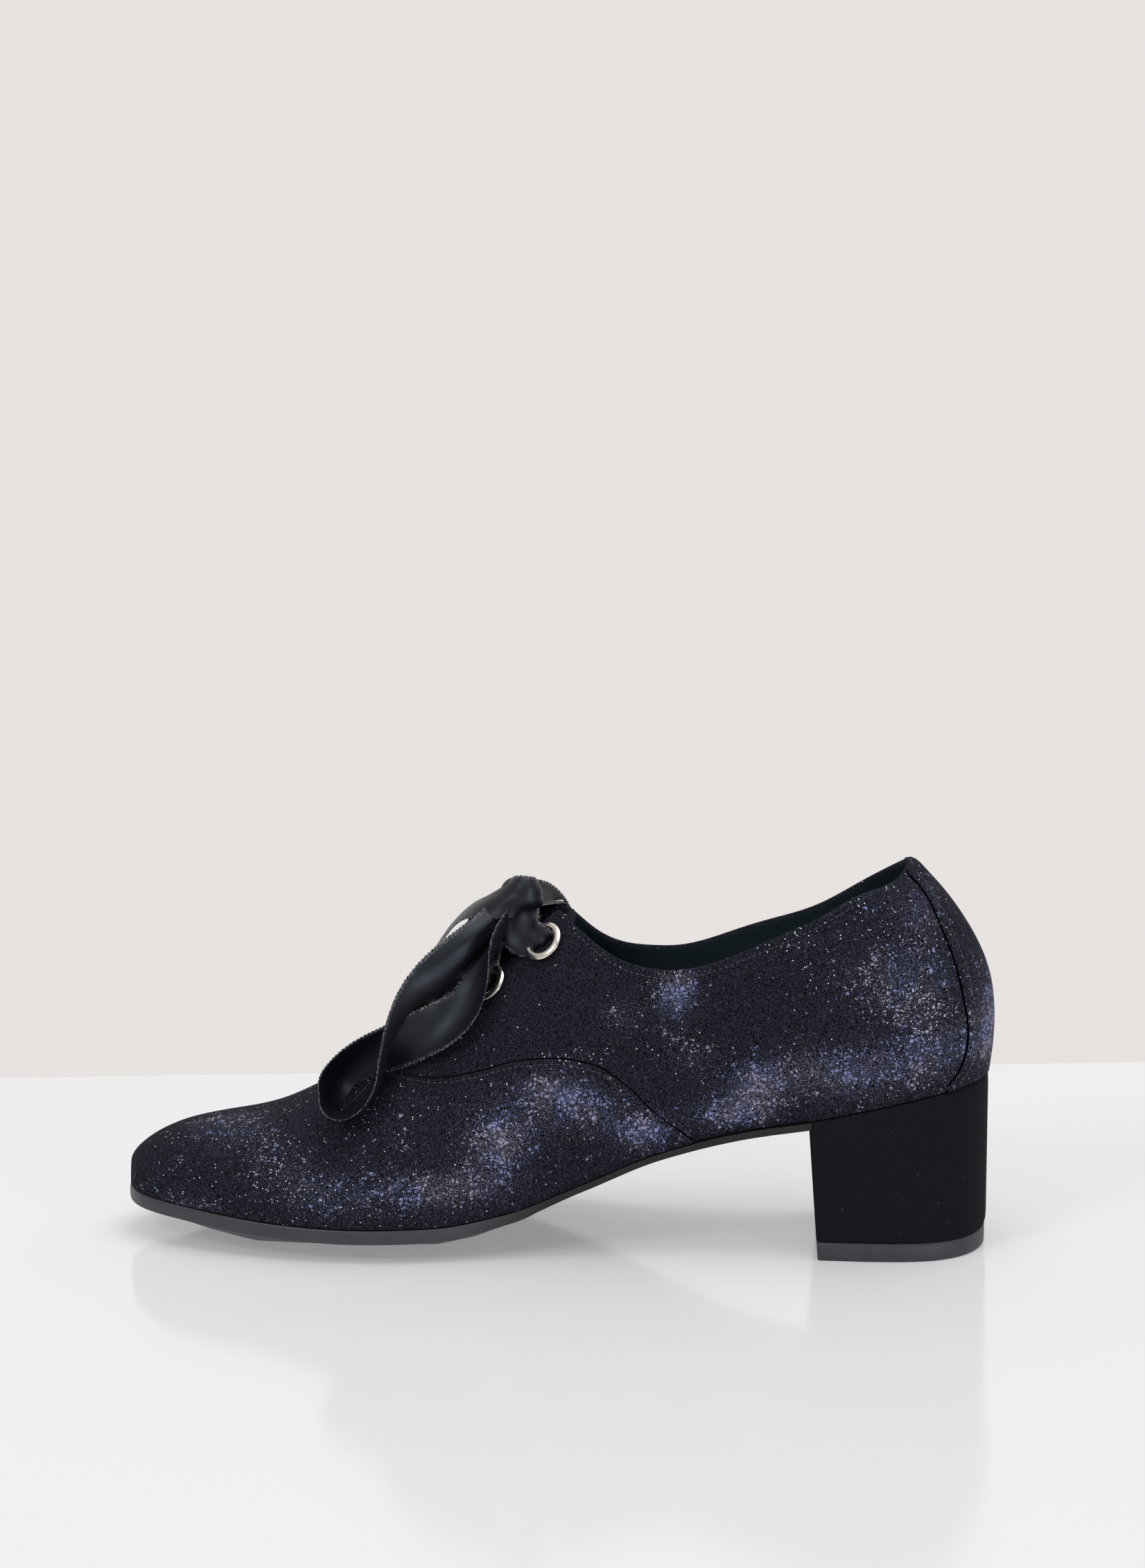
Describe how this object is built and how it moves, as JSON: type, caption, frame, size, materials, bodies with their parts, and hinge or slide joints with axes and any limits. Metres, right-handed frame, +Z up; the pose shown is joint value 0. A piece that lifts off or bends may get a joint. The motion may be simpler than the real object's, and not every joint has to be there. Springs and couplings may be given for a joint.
{
  "type": "lace-up shoe",
  "caption": "Low-cut women's lace-up shoe for the right foot, with a covered block heel, metal eyelets and a satin ribbon tied in a bow.",
  "frame": {"origin": "middle of the footprint without the bow, on the floor", "axes": "+X from the toe towards the heel, +Y towards the outer side of the foot, +Z up"},
  "size_m": [0.2474, 0.0863, 0.1109],
  "materials": {
    "outsole_rubber": "satin",
    "heel_cover": "matte",
    "top_piece_rubber": "matte",
    "lining": "matte",
    "upper_suede": "matte",
    "tongue_suede": "matte",
    "eyelet_metal": "polished",
    "ribbon": "satin"
  },
  "bodies": {
    "root": {"outsole": "outsole_rubber", "heel_block": "heel_cover", "heel_top_piece": "top_piece_rubber", "insole": "lining", "upper": "upper_suede", "tongue": "tongue_suede", "eyelet_near_1": "eyelet_metal", "eyelet_near_2": "eyelet_metal", "eyelet_near_3": "eyelet_metal", "eyelet_far_1": "eyelet_metal", "eyelet_far_2": "eyelet_metal", "eyelet_far_3": "eyelet_metal", "lace_bar_low": "ribbon", "lace_bar_mid": "ribbon", "lace_bar_top": "ribbon", "bow_knot": "ribbon", "bow_loop_near": "ribbon", "bow_loop_far": "ribbon", "bow_tail_front": "ribbon", "bow_tail_back": "ribbon"}
  },
  "joints": []
}
